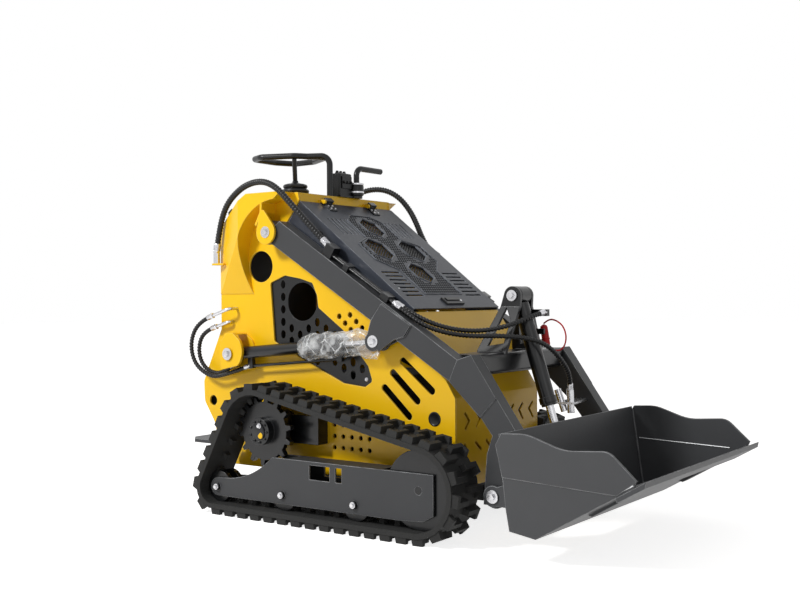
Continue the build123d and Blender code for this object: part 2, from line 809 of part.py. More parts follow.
# tilt cylinder
tilt_line = axis_plane(tilt_top, tilt_foot, 0)
tilt_reach = math.dist(tilt_top, tilt_foot)
tilt_eye_half = tilt_ear_half - tilt_ear_thick - 3
tilt_bore_r = tilt_barrel_r - tilt_wall
with BuildPart() as tilt_barrel:
    with BuildSketch(tilt_line.offset(34)):
        Circle(tilt_barrel_r)
    extrude(amount=tilt_barrel_len - 34)
    with BuildSketch(tilt_line.offset(tilt_barrel_len - 34)):
        Circle(tilt_barrel_r + 4)
    extrude(amount=24)
    with Locations(across(*tilt_top, 0)):
        Cylinder(base_eye_r, 2 * tilt_eye_half)
    with BuildSketch(tilt_line.offset(60)):
        Circle(tilt_bore_r)
    extrude(amount=tilt_barrel_len - 80, mode=Mode.SUBTRACT)
    with BuildSketch(tilt_line.offset(60)):
        Circle(tilt_rod_r + wheel_gap)
    extrude(amount=tilt_barrel_len, mode=Mode.SUBTRACT)
    with Locations(across(*tilt_top, 0)):
        Cylinder(pin_r + pin_run, 200, mode=Mode.SUBTRACT)
save("tilt_barrel", tilt_barrel.part)

with BuildPart() as tilt_rod:
    with BuildSketch(tilt_line.offset(80)):
        Circle(tilt_rod_r)
    extrude(amount=tilt_reach - 80)
    with Locations(across(*tilt_foot, 0)):
        Cylinder(28, 44)
    with BuildSketch(tilt_line.offset(80)):
        Circle(tilt_bore_r - wheel_gap)
    extrude(amount=30)
    with Locations(across(*tilt_foot, 0)):
        Cylinder(pin_r, 100, mode=Mode.SUBTRACT)
save("tilt_rod", tilt_rod.part)

# bucket
shell_half = bucket_half - doubler_thick - bucket_side_thick
floor_angle = math.degrees(math.atan2(lip[1] - heel[1], lip[0] - heel[0]))
floor_end = line_point(lip, floor_angle, -50, seam)
cheek_top = [(630, 392), (652, 432), (745, 437), (882, 391), (1040, 402), (1133, 316)]
doubler_low = [(1066, 265), (655, 285)]
with BuildPart() as bucket:
    with BuildSketch(face_at(shell_half)):
        with BuildLine():
            Polyline(*folded([floor_end, heel, back_low, back_top], bucket_skin), close=True)
        make_face()
    extrude(amount=2 * shell_half)
    for y, thick, low in ((shell_half + bucket_side_thick, bucket_side_thick,
                           [floor_end, heel, back_low, (666, 185), (655, 285)]),
                          (bucket_half, doubler_thick, doubler_low)):
        for outer in (y, thick - y):
            with BuildSketch(face_at(outer)) as cheek:
                with BuildLine():
                    Polyline(*cheek_top, *low, close=True)
                make_face()
                for (x, z), bend in zip(cheek_top[2:5], (150, 200, 60)):
                    fillet(cheek.vertices().sort_by_distance((x, z, 0))[0], bend)
            extrude(amount=thick)
    # wear runners under the floor
    for y in (-400, 400):
        with BuildSketch(face_at(y + 30)):
            with BuildLine():
                Polyline(line_point(heel, floor_angle, 150, 1), line_point(heel, floor_angle, 300, 1),
                         line_point(heel, floor_angle, 288, -12), line_point(heel, floor_angle, 162, -12), close=True)
            make_face()
        extrude(amount=60)
save("bucket", bucket.part)

with BuildPart() as cutting_edge:
    with BuildSketch(face_at(bucket_half)):
        with BuildLine():
            Polyline(lip, line_point(lip, floor_angle, -14, -lip_thick),
                     line_point(lip, floor_angle, -lip_width, -lip_thick), line_point(lip, floor_angle, -lip_width),
                     close=True)
        make_face()
    extrude(amount=2 * bucket_half)
save("cutting_edge", cutting_edge.part)

# hitch plate behind the bucket
lug_gap = 5
hitch_lug = 12
hitch_half = arm_out + lug_gap + hitch_lug + 19
hitch_rise = 295
back_angle = math.degrees(math.atan2(back_top[1] - back_low[1], back_top[0] - back_low[0]))
with BuildPart() as quick_attach:
    with BuildSketch(face_at(hitch_half)):
        with BuildLine():
            Polyline(line_point(back_low, back_angle, 20, seam), line_point(back_low, back_angle, hitch_rise, seam),
                     line_point(back_low, back_angle, hitch_rise, 18), line_point(back_low, back_angle, 20, 18),
                     close=True)
        make_face()
    extrude(amount=2 * hitch_half)
    for side in (-1, 1):
        for y in (arm_in - lug_gap - hitch_lug, arm_out + lug_gap):
            low = min(side * y, side * (y + hitch_lug))
            with BuildSketch(face_at(low + hitch_lug)):
                with BuildLine():
                    Polyline((500, 200), (650, 260), (662, 150), (520, 152), close=True)
                make_face()
                with Locations(bucket_pivot):
                    Circle(38)
            extrude(amount=hitch_lug)
        with Locations(across(*bucket_pivot, side * arm_mid)):
            Cylinder(pin_r, arm_width + 2 * (lug_gap + hitch_lug) + 6)
    for y in (44, -30):
        with BuildSketch(face_at(y)):
            with BuildLine():
                Polyline((620, 370), (575, 322), (575, 290), (650, 240), close=True)
            make_face()
            with Locations(tilt_foot):
                Circle(28)
        extrude(amount=14)
save("quick_attach", quick_attach.part)

# footboard
board_pin = (board_hinge_x, board_z + board_thick / 2)
board_edge = board_hinge_x - hinge_ear_r - 12
with BuildPart() as footboard:
    with BuildSketch(Plane.XY.offset(board_z)) as board:
        with BuildLine():
            Polyline((board_edge, board_half), (board_rear_x + board_corner, board_half),
                     (board_rear_x, board_half - board_corner), (board_rear_x, board_corner - board_half),
                     (board_rear_x + board_corner, -board_half), (board_edge, -board_half), close=True)
        make_face()
        with Locations(*[((board_edge + board_hinge_x) / 2, y) for y in board_hinge_y]):
            Rectangle(board_hinge_x - board_edge, board_knuckle)
    extrude(amount=board_thick)
    with Locations(*[across(*board_pin, y) for y in board_hinge_y]):
        Cylinder(hinge_ear_r, board_knuckle)
        Cylinder(board_pin_r + pin_run, board_knuckle, mode=Mode.SUBTRACT)
save("footboard", footboard.part)

with BuildPart() as board_hinge:
    for y in board_hinge_y:
        with Locations(across(*board_pin, y)):
            Cylinder(board_pin_r, board_knuckle + 4 * hinge_ear_thick)
        for side in (-1, 1):
            shift = y + side * (board_knuckle / 2 + hinge_ear_thick)
            with Locations(across(*board_pin, shift)):
                Cylinder(hinge_ear_r, hinge_ear_thick)
            with Locations(((board_hinge_x + rear_x + panel_inset) / 2, shift, board_pin[1])):
                Box(rear_x + panel_inset - board_hinge_x, hinge_ear_thick, 2 * hinge_ear_r)
save("board_hinge", board_hinge.part)

# controls on the console
deck = roof_z + seam
ring = [(-500, -60), (-575, -181), (-720, -235), (-795, -200), (-800, -60), (-760, 30), (-640, 25)]
ring_post = (-455, -92)
with BuildPart() as control_handle:
    with BuildLine() as ring_line:
        FilletPolyline(*[(x, y, ring_z) for x, y in ring], radius=2.5 * tube_r, close=True)
    with BuildSketch(Plane(origin=ring_line.line @ 0, z_dir=ring_line.line % 0)):
        Circle(tube_r)
    sweep()
    with BuildLine() as post_line:
        FilletPolyline((*ring_post, deck), (*ring_post, ring_z), (-548, -135, ring_z), radius=3 * tube_r)
    with BuildSketch(Plane(origin=post_line.line @ 0, z_dir=post_line.line % 0)):
        Circle(tube_r)
    sweep(path=post_line.line)
save("control_handle", control_handle.part)

with BuildPart() as far_handle:
    with BuildLine() as far_line:
        FilletPolyline((-500, 150, deck), (-500, 150, 1467), (-500, 330, 1467), radius=2.7 * tube_r)
    with BuildSketch(Plane(origin=far_line.line @ 0, z_dir=far_line.line % 0)):
        Circle(tube_r)
    sweep()
save("far_handle", far_handle.part)

# switch block and gauge, and the boot with its stick: two solids that stand apart
stick_top = ring_z - tube_r - 4
with BuildPart() as control_block:
    with Locations((-470, 0, deck)):
        Box(60, 80, 104, align=(Align.CENTER, Align.CENTER, Align.MIN))
    with BuildSketch(Plane.XY.offset(deck)):
        with Locations((-440, 70)):
            Circle(34)
    extrude(amount=66)
with BuildPart() as stick:
    with BuildSketch(Plane.XY.offset(deck)):
        with Locations(boot_at):
            Circle(boot_r)
    extrude(amount=14)
    with BuildSketch(Plane.XY.offset(deck + 14)):
        with Locations(boot_at):
            Circle(boot_r + 12)
    extrude(amount=boot_height - 14, taper=22)
    with BuildSketch(Plane(origin=(*boot_at, deck + boot_height - 4), z_dir=(-17, -44, stick_top - deck - boot_height))):
        Circle(stick_r)
    extrude(amount=stick_top - deck - boot_height)
save("control_block", Compound(children=[control_block.part, stick.part]))

with BuildPart() as rear_console:
    with BuildSketch(face_at(210)):
        with BuildLine():
            Polyline((rear_x, 1175), (rear_x, 1260), (-925, 1285), (-945, 1270), (-925, 1180), close=True)
        make_face()
    extrude(amount=420)
save("rear_console", rear_console.part)

# silver pipes from the side plate to the lift hoses, and the ferrules of the loop hoses
loop_y = -345
upper_y = -366
lower_y = -342
ferrule_len = 50
bracket_top = bracket_z + bracket_thick
plate_face = -body_half - seam
fittings = [tube([(-790, plate_face, 843.5), (-790, upper_y, 843.5), (-892.6, upper_y, 811.1)], 7),
            tube([(-815, plate_face, 786.4), (-815, lower_y, 786.4), (-893.6, lower_y, 764.1)], 7)]
with BuildPart() as ferrule:
    with Locations((-881, loop_y, bracket_top + seam)):
        Cylinder(14, ferrule_len, align=(Align.CENTER, Align.CENTER, Align.MIN))
save_pair("fitting", Compound(children=[*fittings, ferrule.part]))

# hoses
save_pair("hose_loop", tube([(-881, loop_y, bracket_top + ferrule_len + 3.6), (-858, -350, 1191), (-804, -364, 1286),
                             (-712, -380, 1344), (-626, -392, 1368), (-537, -405, 1365), (-459, -416, 1329),
                             (-395, -416, 1268), (-343, -396, 1207), (-295, -370, 1146), (-250, -357, 1097)],
                            loop_hose_r))
save_pair("hose_lift_upper", tube([(-893, upper_y, 811), (-975, upper_y, 785), (-1026, upper_y, 700),
                                   (-1005, upper_y, 610), (-930, upper_y, 560), (-850, upper_y, 548),
                                   (-682.8, -arm_mid, 601.8)], lift_hose_r))
save_pair("hose_lift_lower", tube([(-894, lower_y, 764), (-961, lower_y, 745), (-999, lower_y, 686),
                                   (-990, lower_y, 617), (-937, lower_y, 569), (-850, lower_y, 562),
                                   (-770, -arm_mid, 606)], lift_hose_r))

# pipes on the arms, from the loop hose to the tilt hoses
pipe_out = 86
pipe_r = 6.5
pipe_shift = 9
with BuildPart() as arm_pipe:
    for y in (-arm_mid - pipe_shift, -arm_mid + pipe_shift):
        with BuildSketch(axis_plane(line_point(arm_pivot, arm_slope, 300, pipe_out),
                                    line_point(arm_pivot, arm_slope, 690, pipe_out), y)):
            Circle(pipe_r)
        extrude(amount=390)
    for along, length, top in ((311, 46, 120), (420, 26, 96), (640, 40, 98)):
        with BuildSketch(face_at(2 * pipe_shift + 4 - arm_mid)):
            with BuildLine():
                Polyline(*[line_point(arm_pivot, arm_slope, along + side * length / 2, out)
                           for side, out in ((-1, arm_top + seam), (1, arm_top + seam), (1, top), (-1, top))], close=True)
            make_face()
        extrude(amount=4 * pipe_shift + 8)
save_pair("arm_pipe", arm_pipe.part)

save("hose_tilt_upper", tube([(84.6, pipe_shift - arm_mid, 861.9), (170, -332, 810), (262, -272, 768), (356, -194, 757),
                              (440, -118, 778), (492, -42, 814), (500, 37, 826)], tilt_hose_r))
save("hose_tilt_lower", tube([(84.6, -pipe_shift - arm_mid, 861.9), (168, -354, 800), (245, -312, 760), (330, -245, 741),
                              (422, -175, 742), (500, -105, 735), (552, -30, 706), (572, 55, 640), (570, 125, 575),
                              (555, 149, 526)], tilt_hose_r))

# couplers on a bracket from the left leg
coupler_y = 150
with BuildPart() as couplers:
    for x, lean in ((555, 2.5), (500, 20)):
        with Locations(Location((x, coupler_y, 521), (0, 180 - lean, 0))):
            Cylinder(14, 90, align=(Align.CENTER, Align.CENTER, Align.MIN))
    with BuildSketch(Plane.XY.offset(466)):
        with BuildLine():
            Polyline((495, arm_in - seam), (495, coupler_y - 20), (575, coupler_y - 20), (575, coupler_y + 20),
                     (545, arm_in - seam), close=True)
        make_face()
    extrude(amount=8)
save("couplers", couplers.part)
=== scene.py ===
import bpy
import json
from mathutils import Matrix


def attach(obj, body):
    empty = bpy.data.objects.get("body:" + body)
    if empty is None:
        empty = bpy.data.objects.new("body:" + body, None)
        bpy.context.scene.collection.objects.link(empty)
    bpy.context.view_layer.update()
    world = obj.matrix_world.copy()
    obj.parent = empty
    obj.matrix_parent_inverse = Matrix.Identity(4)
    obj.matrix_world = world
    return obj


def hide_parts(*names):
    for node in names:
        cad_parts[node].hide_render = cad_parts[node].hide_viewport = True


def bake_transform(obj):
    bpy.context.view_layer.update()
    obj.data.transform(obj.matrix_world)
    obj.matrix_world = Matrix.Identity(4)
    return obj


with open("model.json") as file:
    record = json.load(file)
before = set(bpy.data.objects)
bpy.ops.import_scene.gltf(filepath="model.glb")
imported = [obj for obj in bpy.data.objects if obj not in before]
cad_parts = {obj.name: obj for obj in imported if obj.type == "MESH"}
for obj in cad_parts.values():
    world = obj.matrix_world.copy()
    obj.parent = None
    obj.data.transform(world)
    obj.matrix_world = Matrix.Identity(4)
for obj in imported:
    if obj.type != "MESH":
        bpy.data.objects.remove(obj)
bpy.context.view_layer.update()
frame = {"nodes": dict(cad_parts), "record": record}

import json
import math

import bpy
from mathutils import Matrix, Vector, noise

scene = bpy.context.scene
nodes = frame["nodes"]
mm = 0.001


# helpers for shapes

bothSides = ((-1, "right"), (1, "left"))  # the sign of Y and the side's name


def addMesh(name, form, slot, body, smooth=True, replaced=(), material=None):
    # one finished piece with its finish and the body that carries it; form is its points in mm and its faces
    points, faces = form
    mesh = bpy.data.meshes.new(name)
    mesh.from_pydata([tuple(Vector(p) * mm) for p in points], [], faces)
    mesh.validate()
    mesh.materials.append(material or finishes[slot])
    for polygon in mesh.polygons:
        polygon.use_smooth = smooth
    if smooth:
        mesh.set_sharp_from_angle(angle=math.radians(35))
    piece = bpy.data.objects.new(name, mesh)
    scene.collection.objects.link(piece)
    if body:  # a piece without one is attached to no body here
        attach(piece, body)
    if replaced:
        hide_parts(*replaced)
    return piece


def turnedTo(axis):
    # a rotation that takes +Z to the given direction
    return Vector(axis).normalized().to_track_quat("Z", "Y").to_matrix()


def ringFaces(rings, sides):
    # the quads between each ring of points and the next
    return [(start + i, start + (i + 1) % sides, start + sides + (i + 1) % sides, start + sides + i)
            for start in range(0, (rings - 1) * sides, sides) for i in range(sides)]


def closedRings(rings, sides):
    # the same with a flat face at each end
    last = (rings - 1) * sides
    return ringFaces(rings, sides) + [tuple(range(sides - 1, -1, -1)), tuple(range(last, last + sides))]


def lathe(profile, place, axis, sides=32):
    # points and faces of a turned form: profile is (radius, height) along the axis, closed at both ends
    turn = turnedTo(axis)
    points = [Vector(place) + turn @ Vector((r * math.cos(a), r * math.sin(a), h))
              for r, h in profile for a in (2 * math.pi * i / sides for i in range(sides))]
    return points, closedRings(len(profile), sides)


def block(centre, size, turn=Matrix.Identity(3)):
    # a box with its corners cut, so that its edges catch the light
    half = [s / 2 for s in size]
    cut = min(half) * 0.12
    levels = ((-half[2], cut), (-half[2] + cut, 0), (half[2] - cut, 0), (half[2], cut))
    points = []
    for z, inset in levels:
        x, y = half[0] - inset, half[1] - inset
        corners = ((-x + cut, -y), (x - cut, -y), (x, -y + cut), (x, y - cut), (x - cut, y), (-x + cut, y),
                   (-x, y - cut), (-x, -y + cut))
        points += [Vector(centre) + turn @ Vector((px, py, z)) for px, py in corners]
    return points, closedRings(len(levels), len(corners))


def joined(*forms):
    points, faces = [], []
    for morePoints, moreFaces in forms:
        shift = len(points)
        points += list(morePoints)
        faces += [tuple(shift + i for i in face) for face in moreFaces]
    return points, faces


def smoothLine(route, stepMm):
    # the NURBS line that has the route's points as its controls, read finely enough for the guard's ridges
    data = bpy.data.curves.new("route", "CURVE")
    data.dimensions = "3D"
    spline = data.splines.new("NURBS")
    spline.points.add(len(route) - 1)
    for point, place in zip(spline.points, route):
        point.co = (*place, 1)
    spline.order_u = 3
    spline.use_endpoint_u = True
    reach = sum((Vector(b) - Vector(a)).length for a, b in zip(route, route[1:]))
    spline.resolution_u = min(1024, math.ceil(reach / (stepMm * mm) / (len(route) - 2)))
    holder = bpy.data.objects.new("route", data)
    scene.collection.objects.link(holder)
    line = [v.co.copy() for v in bpy.data.meshes.new_from_object(holder).vertices]
    bpy.data.objects.remove(holder)
    return line


def sweptTube(line, radiusAt, sides):
    # a tube along the line, without twist: radiusAt gives the radius at a length and a turn
    points = []
    across = None
    run = 0.0
    for i, place in enumerate(line):
        ahead = (line[min(i + 1, len(line) - 1)] - line[max(i - 1, 0)]).normalized()
        if across is None:
            across = ahead.orthogonal()
        across = (across - ahead * across.dot(ahead)).normalized()
        other = ahead.cross(across)
        if i:
            run += (place - line[i - 1]).length
        for k in range(sides):
            turn = 2 * math.pi * k / sides
            points.append(place + (across * math.cos(turn) + other * math.sin(turn)) * radiusAt(run, turn))
    return points, closedRings(len(line), sides)


def mirrored(points):
    return [(x, -y, z) for x, y, z in points]


def inMm(line):
    return [p / mm for p in line]


# helpers for materials

def toLinear(hexColour):
    # sRGB hex to the linear values that Blender works in
    values = [int(hexColour[i:i + 2], 16) / 255 for i in (1, 3, 5)]
    return [v / 12.92 if v <= 0.04045 else ((v + 0.055) / 1.055) ** 2.4 for v in values] + [1.0]


def addNode(tree, kind, sockets=(), **settings):
    # one shader node: settings are its own properties, and a socket takes a link or a plain value
    node = tree.nodes.new("ShaderNode" + kind)
    for name, value in settings.items():
        setattr(node, name, value)
    for socket, source in dict(sockets).items():
        if isinstance(source, bpy.types.NodeSocket):
            tree.links.new(source, node.inputs[socket])
        else:
            node.inputs[socket].default_value = source
    return node


def newMaterial(name):
    material = bpy.data.materials.new(name)
    material.use_nodes = True
    tree = material.node_tree
    tree.nodes.clear()
    shader = addNode(tree, "BsdfPrincipled")
    addNode(tree, "OutputMaterial", {"Surface": shader.outputs[0]})
    where = addNode(tree, "TexCoord").outputs["Object"]
    return material, tree, shader, where


# camera at the photograph's view

camera = {"place": (2.478, -3.659, 0.892), "azimuth": 35.74, "pitch": 0.2, "roll": 0.34,
          "focalPixels": 1076.3, "frameWidth": 800}


def makeCamera(s):
    azimuth, pitch, roll = (math.radians(s[k]) for k in ("azimuth", "pitch", "roll"))
    ahead = Vector((-math.sin(azimuth) * math.cos(pitch), math.cos(azimuth) * math.cos(pitch),
                    -math.sin(pitch)))
    right = ahead.cross(Vector((0, 0, 1))).normalized()
    turned = Matrix.Rotation(roll, 3, ahead) @ Matrix((right, right.cross(ahead), -ahead)).transposed()
    data = bpy.data.cameras.new("camera")
    data.sensor_width = 36.0
    data.lens = s["focalPixels"] / s["frameWidth"] * data.sensor_width
    view = bpy.data.objects.new("camera", data)
    view.matrix_world = Matrix.Translation(s["place"]) @ turned.to_4x4()
    scene.collection.objects.link(view)
    scene.camera = view


makeCamera(camera)

# studio: a white floor that keeps the shadow, and soft lamps

studio = {"floor": "#ECEAE8", "world": 0.27, "floorLift": 0.80, "reach": 30.0, "aim": (0, 0, 0.6),
          "lamps": (("key", (-2.2, -4.6, 4.4), 275, 1.0), ("fill", (4.6, -2.6, 2.2), 14, 2.5))}


def addLamp(aim, name, place, watts, size):
    data = bpy.data.lights.new(name, "AREA")
    data.energy = watts
    data.size = size
    lamp = bpy.data.objects.new(name, data)
    lamp.location = place
    lamp.rotation_euler = (Vector(aim) - Vector(place)).to_track_quat("-Z", "Y").to_euler()
    scene.collection.objects.link(lamp)


def seenRays(tree):
    # 1 for camera, mirror and glass rays, which see the white backdrop, and 0 for light on the object
    path = addNode(tree, "LightPath")
    seen = addNode(tree, "Math", {0: path.outputs["Is Camera Ray"], 1: path.outputs["Is Glossy Ray"]},
                   operation="MAXIMUM")
    return addNode(tree, "Math", {0: seen.outputs[0], 1: path.outputs["Is Transmission Ray"]},
                   operation="MAXIMUM").outputs[0]


def makeStudio(s):
    scene.view_settings.view_transform = "Standard"
    mesh = bpy.data.meshes.new("floor")
    reach = s["reach"]
    mesh.from_pydata([(-reach, -reach, 0), (reach, -reach, 0), (reach, reach, 0), (-reach, reach, 0)], [],
                     [(0, 1, 2, 3)])
    floor = bpy.data.objects.new("floor", mesh)
    scene.collection.objects.link(floor)
    material, tree, shader, _ = newMaterial("matt white floor paint")
    shader.inputs["Base Color"].default_value = toLinear(s["floor"])
    shader.inputs["Roughness"].default_value = 0.9
    shader.inputs["Emission Color"].default_value = (1, 1, 1, 1)
    glow = addNode(tree, "MapRange", {"Value": seenRays(tree), "To Min": 0.0, "To Max": s["floorLift"]})
    tree.links.new(glow.outputs["Result"], shader.inputs["Emission Strength"])
    mesh.materials.append(material)
    world = bpy.data.worlds.new("studio")
    scene.world = world
    world.use_nodes = True
    tree = world.node_tree
    tree.nodes.clear()
    bright = addNode(tree, "MapRange", {"Value": seenRays(tree), "To Min": s["world"], "To Max": 1.0})
    light = addNode(tree, "Background", {"Color": (1, 1, 1, 1), "Strength": bright.outputs["Result"]})
    addNode(tree, "OutputWorld", {"Surface": light.outputs[0]})
    for lamp in s["lamps"]:
        addLamp(s["aim"], *lamp)


makeStudio(studio)
print("stage: camera and studio are set")


# materials of the machine

def powderCoat(name, colour, dark, edgeHighlight, roughness, gloss=0.0, peelMm=1.6, edgeMm=4.5, highlightBreakMm=60, patchMm=160,
               sheenMm=14):
    # sprayed and baked powder: an even colour with a fine orange peel, paler where it rounds an edge, a
    # painted highlight
    # its edges are drawn wider than real ones, because those are too fine to show
    material, tree, shader, where = newMaterial(name)
    rounded = addNode(tree, "Bevel", {"Radius": edgeMm * mm}, samples=6)
    facing = addNode(tree, "NewGeometry")
    same = addNode(tree, "VectorMath", {0: rounded.outputs[0], 1: facing.outputs["True Normal"]},
                   operation="DOT_PRODUCT")
    # painted highlight: 1 where the rounded normal turns away from the true one, at an edge
    edge = addNode(tree, "MapRange", {"Value": same.outputs["Value"], "From Min": 0.86, "From Max": 0.995,
                                      "To Min": 1.0, "To Max": 0.0})
    # noise that breaks the painted edge highlight into patches
    highlightBreak = addNode(tree, "TexNoise", {"Vector": where, "Scale": 1 / (highlightBreakMm * mm), "Detail": 4.0})
    uneven = addNode(tree, "MapRange", {"Value": highlightBreak.outputs["Fac"], "From Min": 0.3, "From Max": 0.7,
                                        "To Min": 0.15, "To Max": 1.0})
    highlightMask = addNode(tree, "Math", {0: edge.outputs["Result"], 1: uneven.outputs["Result"]},
                     operation="MULTIPLY")
    patches = addNode(tree, "TexNoise", {"Vector": where, "Scale": 1 / (patchMm * mm), "Detail": 3.0})
    paint = addNode(tree, "Mix", {0: patches.outputs["Fac"], 6: toLinear(colour), 7: toLinear(dark)},
                    data_type="RGBA")
    # the painted highlight's pale colour laid over the paint at the edges
    paintAndHighlight = addNode(tree, "Mix", {0: highlightMask.outputs[0], 6: paint.outputs[2], 7: toLinear(edgeHighlight)},
                   data_type="RGBA")
    tree.links.new(paintAndHighlight.outputs[2], shader.inputs["Base Color"])
    peel = addNode(tree, "TexNoise", {"Vector": where, "Scale": 1 / (peelMm * mm), "Detail": 1.0})
    bump = addNode(tree, "Bump", {"Height": peel.outputs["Fac"], "Normal": rounded.outputs[0],
                                  "Strength": 0.10, "Distance": 0.1 * mm})
    tree.links.new(bump.outputs[0], shader.inputs["Normal"])
    sheen = addNode(tree, "TexNoise", {"Vector": where, "Scale": 1 / (sheenMm * mm), "Detail": 3.0})
    matt = addNode(tree, "MapRange", {"Value": sheen.outputs["Fac"], "To Min": roughness - 0.06,
                                      "To Max": roughness + 0.08})
    tree.links.new(matt.outputs["Result"], shader.inputs["Roughness"])
    shader.inputs["Specular IOR Level"].default_value = 0.3
    shader.inputs["Coat Weight"].default_value = gloss
    shader.inputs["Coat Roughness"].default_value = 0.15
    return material


def rubber(name, colour, dust, roughness, grainMm=6, depthMm=0.3):
    # moulded rubber, nylon or vinyl: one dull colour, with a second one caught in its grain
    # the grain is drawn coarser than the real one, which is too fine to show
    material, tree, shader, where = newMaterial(name)
    grain = addNode(tree, "TexNoise", {"Vector": where, "Scale": 1 / (grainMm * mm), "Detail": 6.0})
    caught = addNode(tree, "MapRange", {"Value": grain.outputs["Fac"], "To Min": 0.0, "To Max": 0.8})
    mottled = addNode(tree, "Mix", {0: caught.outputs["Result"], 6: toLinear(colour), 7: toLinear(dust)},
                      data_type="RGBA")
    tree.links.new(mottled.outputs[2], shader.inputs["Base Color"])
    shader.inputs["Specular IOR Level"].default_value = 0.3
    bump = addNode(tree, "Bump", {"Height": grain.outputs["Fac"], "Strength": 0.3, "Distance": depthMm * mm})
    tree.links.new(bump.outputs[0], shader.inputs["Normal"])
    matt = addNode(tree, "MapRange", {"Value": grain.outputs["Fac"], "To Min": roughness - 0.1,
                                      "To Max": roughness + 0.1})
    tree.links.new(matt.outputs["Result"], shader.inputs["Roughness"])
    return material


def platedSteel(name, colour, roughness, grainMm):
    # zinc plate or bare steel: bright metal, its gloss broken by small marks
    # the marks are drawn coarser than real ones, which are too fine to show
    material, tree, shader, where = newMaterial(name)
    shader.inputs["Base Color"].default_value = toLinear(colour)
    shader.inputs["Metallic"].default_value = 1.0
    marks = addNode(tree, "TexNoise", {"Vector": where, "Scale": 1 / (grainMm * mm), "Detail": 4.0})
    matt = addNode(tree, "MapRange", {"Value": marks.outputs["Fac"], "To Min": roughness - 0.08,
                                      "To Max": roughness + 0.12})
    tree.links.new(matt.outputs["Result"], shader.inputs["Roughness"])
    return material


def wrapFilm(name, colour, bendMm=30, bendBy=0.03, creaseMm=70, cloudMm=55):
    # thin polythene: clear where it lies flat; white along its creases, its own whitening and painted
    # highlight
    material, tree, shader, where = newMaterial(name)
    shader.inputs["Base Color"].default_value = toLinear(colour)
    shader.inputs["Roughness"].default_value = 0.10
    bend = addNode(tree, "TexNoise", {"Vector": where, "Scale": 1 / (bendMm * mm), "Detail": 2.0})
    moved = addNode(tree, "VectorMath", {0: bend.outputs["Color"], 1: [bendBy] * 3, 2: where},
                    operation="MULTIPLY_ADD")
    cells = addNode(tree, "TexVoronoi", {"Vector": moved.outputs[0], "Scale": 1 / (creaseMm * mm)},
                    feature="DISTANCE_TO_EDGE")
    # white lines at the cell edges: the folded film's whitening together with painted highlight
    creaseWhiteAndHighlight = addNode(tree, "MapRange", {"Value": cells.outputs["Distance"], "From Min": 0.0, "From Max": 0.05,
                                        "To Min": 1.0, "To Max": 0.0})
    clouds = addNode(tree, "TexNoise", {"Vector": where, "Scale": 1 / (cloudMm * mm), "Detail": 4.0})
    cloudy = addNode(tree, "MapRange", {"Value": clouds.outputs["Fac"], "From Min": 0.50, "From Max": 0.72,
                                        "To Min": 0.04, "To Max": 0.85})
    # milky clouds of the film joined with the painted crease highlight
    milkAndHighlight = addNode(tree, "Math", {0: creaseWhiteAndHighlight.outputs["Result"], 1: cloudy.outputs["Result"]},
                    operation="MAXIMUM")
    solid = addNode(tree, "MapRange", {"Value": milkAndHighlight.outputs[0], "To Min": 0.16, "To Max": 0.9})
    tree.links.new(solid.outputs["Result"], shader.inputs["Alpha"])
    bump = addNode(tree, "Bump", {"Height": milkAndHighlight.outputs[0], "Strength": 0.6, "Distance": 2 * mm})
    tree.links.new(bump.outputs[0], shader.inputs["Normal"])
    return material


finishes = {
    # the three colours of a paint are its own, that of its darker patches and that of the painted highlight
    # on its edges
    # a warm bright yellow with a soft gleam
    "yellow_paint": powderCoat("yellow powder-coated steel", "#FAC80A", "#F5BF08", "#FFE070", 0.36,
                               gloss=0.15),
    # dark greys with a satin face, outlined by the painted highlight on their edges
    "dark_paint": powderCoat("dark grey powder-coated steel", "#3D3E40", "#37383A", "#C4C6C8", 0.42),
    "hood_paint": powderCoat("blue-grey powder-coated steel", "#363A43", "#30343D", "#A5AAB3", 0.36),
    "bucket_paint": powderCoat("mid grey powder-coated steel", "#4C4D4F", "#464749", "#BEC0C2", 0.42),
    # a black that mirrors the lamps in thin lines
    "black_paint": powderCoat("black enamelled steel", "#0E0F11", "#0B0C0E", "#3A3C40", 0.30, gloss=0.2),
    # dull and greyed by dust
    "track_rubber": rubber("moulded track rubber", "#1A1A1A", "#393938", 0.75),
    # black, with a low gleam on each ridge
    "hose_rubber": rubber("nylon spiral guard on hose", "#0D0D0E", "#1A1A1B", 0.38, grainMm=2),
    # a rough black that hardly shines
    "engine_iron": powderCoat("black cast iron", "#141516", "#101112", "#2A2B2C", 0.6),
    # bright, and takes up the white round it
    "plated_steel": platedSteel("zinc plated steel", "#C9C9CC", 0.25, 8),
    # a flat black with a soft sheen
    "black_plastic": rubber("moulded black nylon", "#101112", "#18191A", 0.32, grainMm=3, depthMm=0.1),
}
# the running gear is enamelled black, whatever slot its record gives
blackNodes = ("sprocket_", "drive_motor_", "front_idler_", "bottom_rollers_")
for part in frame["record"]["subparts"]:
    mesh = nodes[part["node"]].data
    mesh.materials.clear()
    slotName = "black_paint" if part["node"].startswith(blackNodes) else part["material_slot"]
    mesh.materials.append(finishes[slotName])
darkHole = rubber("shade inside a punched hole", "#050505", "#070707", 0.9)  # black, and without a gleam
darkHole.node_tree.nodes["Principled BSDF"].inputs["Specular IOR Level"].default_value = 0.05
redPlastic = rubber("moulded red vinyl", "#C4161C", "#B01218", 0.4, grainMm=3, depthMm=0.1)  # one clear red
bareWeld = platedSteel("bare steel weld bead", "#B4B5B6", 0.5, 5)  # metal, but duller than the plate
film = wrapFilm("crumpled polythene film", "#EEF0F1")  # seen mostly by its creases
print("stage: materials are on")


# hydraulic hoses: rubber hose in a nylon spiral guard, crimped into plated ferrules
# the routes repeat the solids' points, in metres; the left loop stands higher than its solid, by leftRise

